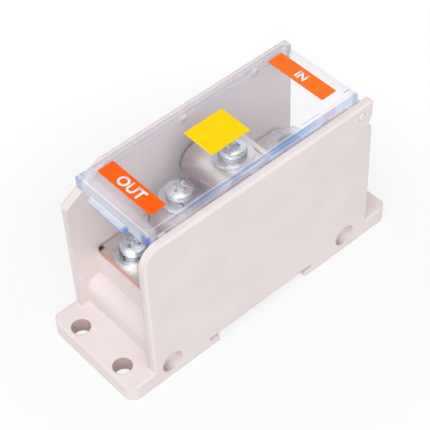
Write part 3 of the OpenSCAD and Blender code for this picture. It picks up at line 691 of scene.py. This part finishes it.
def new_piece(name, mesh, finish, body):
    """Puts a mesh in the scene as a finished piece that rides on a body."""
    piece = bpy.data.objects.new(name, mesh)
    bpy.context.scene.collection.objects.link(piece)
    mesh.materials.clear()
    mesh.materials.append(finish)
    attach(piece, body)
    return piece


def film_label(name, node, finish):
    """A label with rounded corners that stands for the plain CAD plate."""
    low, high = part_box(node)
    shape = bmesh.new()
    bmesh.ops.create_cube(shape, size=1.0)
    size = Vector((high.x - low.x, high.y - low.y, LABEL_FILM))
    bmesh.ops.scale(shape, vec=size, verts=shape.verts)
    bmesh.ops.translate(shape, vec=((low.x + high.x) / 2, (low.y + high.y) / 2,
                                    low.z + LABEL_FILM / 2), verts=shape.verts)
    upright = [e for e in shape.edges
               if abs(e.verts[0].co.z - e.verts[1].co.z) > LABEL_FILM / 2]
    bmesh.ops.bevel(shape, geom=upright, offset=LABEL_CORNER, segments=5, profile=0.5,
                    affect="EDGES", material=-1)
    mesh = bpy.data.meshes.new(name)
    shape.to_mesh(mesh)
    shape.free()
    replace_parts(new_piece(name, mesh, finish, "cover"), node)


def flat_letters(name, word, weight):
    """The outlines of a word, filled in, as a mesh of its own."""
    letters = bpy.data.curves.new(name, "FONT")
    letters.body = word
    letters.size = 1.0
    letters.align_x = "CENTER"
    letters.offset = weight
    letters.resolution_u = 4
    drawn = bpy.data.objects.new(name, letters)
    bpy.context.scene.collection.objects.link(drawn)
    bpy.context.view_layer.update()
    mesh = bpy.data.meshes.new_from_object(drawn)
    bpy.data.objects.remove(drawn)
    return mesh


def printed_word(name, word, node, height, weight):
    """Bold letters printed on a label. They read across the block, with their tops
    towards the incoming end."""
    low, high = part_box(node)
    mesh = flat_letters(name, word, weight)
    shape = bmesh.new()
    shape.from_mesh(mesh)
    xs = [v.co.x for v in shape.verts]
    ys = [v.co.y for v in shape.verts]
    cap = max(ys) - min(ys)
    middle = Vector(((max(xs) + min(xs)) / 2, (max(ys) + min(ys)) / 2, 0.0))
    bmesh.ops.translate(shape, vec=-middle, verts=shape.verts)
    bmesh.ops.scale(shape, vec=Vector((1, 1, 1)) * (height / cap), verts=shape.verts)
    bmesh.ops.remove_doubles(shape, verts=shape.verts, dist=1e-7)
    grown = bmesh.ops.extrude_face_region(shape, geom=shape.faces[:])
    raised = [v for v in grown["geom"] if isinstance(v, bmesh.types.BMVert)]
    bmesh.ops.translate(shape, vec=(0, 0, PRINT_T), verts=raised)
    bmesh.ops.recalc_face_normals(shape, faces=shape.faces)
    bmesh.ops.rotate(shape, cent=(0, 0, 0), matrix=Matrix.Rotation(-math.pi / 2, 3, "Z"),
                     verts=shape.verts)
    bmesh.ops.translate(shape, vec=((low.x + high.x) / 2, (low.y + high.y) / 2,
                                    low.z + LABEL_FILM), verts=shape.verts)
    shape.to_mesh(mesh)
    shape.free()
    mesh.name = name
    new_piece(name, mesh, white_finish, "cover")


film_label("out_label_film", "out_label", orange_finish)
film_label("in_label_film", "in_label", pale_orange_finish)
film_label("marker_film", "marker_label", yellow_finish)
printed_word("out_word", "OUT", "out_label", height=3.2 * MM, weight=0.030)
printed_word("in_word", "IN", "in_label", height=2.6 * MM, weight=0.035)


# ---------------------------------------------------------------- floor, light and camera


def pale_floor():
    """Large pale sweep under the block. It is seen as white away from the block, and keeps a
    soft shadow near it."""
    shape = bmesh.new()
    bmesh.ops.create_grid(shape, x_segments=2, y_segments=2, size=3.0)
    mesh = bpy.data.meshes.new("floor")
    shape.to_mesh(mesh)
    shape.free()
    floor = bpy.data.objects.new("floor", mesh)
    bpy.context.scene.collection.objects.link(floor)
    floor.location = (0, 0, cad_low.z - 0.02 * MM)
    material, tree, shader = new_finish("pale_floor")
    shader.inputs["Base Color"].default_value = (0.78, 0.78, 0.78, 1)
    shader.inputs["Roughness"].default_value = 0.9
    shader.inputs["Specular IOR Level"].default_value = 0.0
    white = add_node(tree, "ShaderNodeEmission", inputs={"Strength": 1.0})
    away = add_node(tree, "ShaderNodeVectorMath", operation="LENGTH")
    join(tree, object_place(tree), away.inputs[0])
    whiteness = ramp(tree, away.outputs["Value"], 50.0 * MM, 90.0 * MM, 0.80, 1.0)
    show(tree, mix_shaders(tree, both(tree, whiteness, seen_directly(tree)),
                           shader.outputs["BSDF"], white.outputs["Emission"]))
    mesh.materials.append(material)


def soft_world(level):
    """Even light from all round. It looks white where it is seen, mirrored or seen through."""
    world = bpy.data.worlds.new("studio")
    bpy.context.scene.world = world
    world.use_nodes = True
    tree = world.node_tree
    tree.nodes.clear()
    add_node(tree, "ShaderNodeOutputWorld")
    lit = add_node(tree, "ShaderNodeBackground", inputs={
        "Color": (1.0, 0.985, 0.98, 1), "Strength": level})
    white = add_node(tree, "ShaderNodeBackground", inputs={"Color": (1, 1, 1, 1), "Strength": 1.0})
    show(tree, mix_shaders(tree, seen_directly(tree), lit.outputs["Background"],
                           white.outputs["Background"]))


def soft_lamp(name, place, target, size, power):
    lamp = bpy.data.lights.new(name, "AREA")
    lamp.shape = "DISK"
    lamp.size = size
    lamp.energy = power
    holder = bpy.data.objects.new(name, lamp)
    bpy.context.scene.collection.objects.link(holder)
    holder.location = place
    holder.rotation_euler = (Vector(target) - Vector(place)).to_track_quat("-Z", "Y").to_euler()


def front_camera():
    """Long lens that looks down on the outgoing end and the right wall."""
    azimuth, elevation, roll = math.radians(-39.61), math.radians(48.01), math.radians(-2.95)
    sideways, upwards, distance = -2.583 * MM, 15.072 * MM, 383.597 * MM
    back = Vector((math.sin(azimuth) * math.cos(elevation),
                   -math.cos(azimuth) * math.cos(elevation), math.sin(elevation)))
    level = (-back).cross(Vector((0, 0, 1))).normalized()
    upright = level.cross(-back)
    right = math.cos(roll) * level + math.sin(roll) * upright
    up = -math.sin(roll) * level + math.cos(roll) * upright
    lens = bpy.data.cameras.new("camera")
    lens.lens = 119.14
    lens.sensor_width = 36.0
    lens.clip_start = 0.01
    lens.clip_end = 20.0
    camera = bpy.data.objects.new("camera", lens)
    bpy.context.scene.collection.objects.link(camera)
    turn = Matrix((right, up, back)).transposed().to_4x4()
    place = right * sideways + up * upwards + back * distance
    camera.matrix_world = Matrix.Translation(place) @ turn
    bpy.context.scene.camera = camera


pale_floor()
soft_world(level=0.44)
soft_lamp("key", place=(-0.35, -0.36, 0.65), target=(0, 0, 0.03), size=1.1, power=6.9)
front_camera()

bpy.context.scene.view_settings.view_transform = "Standard"
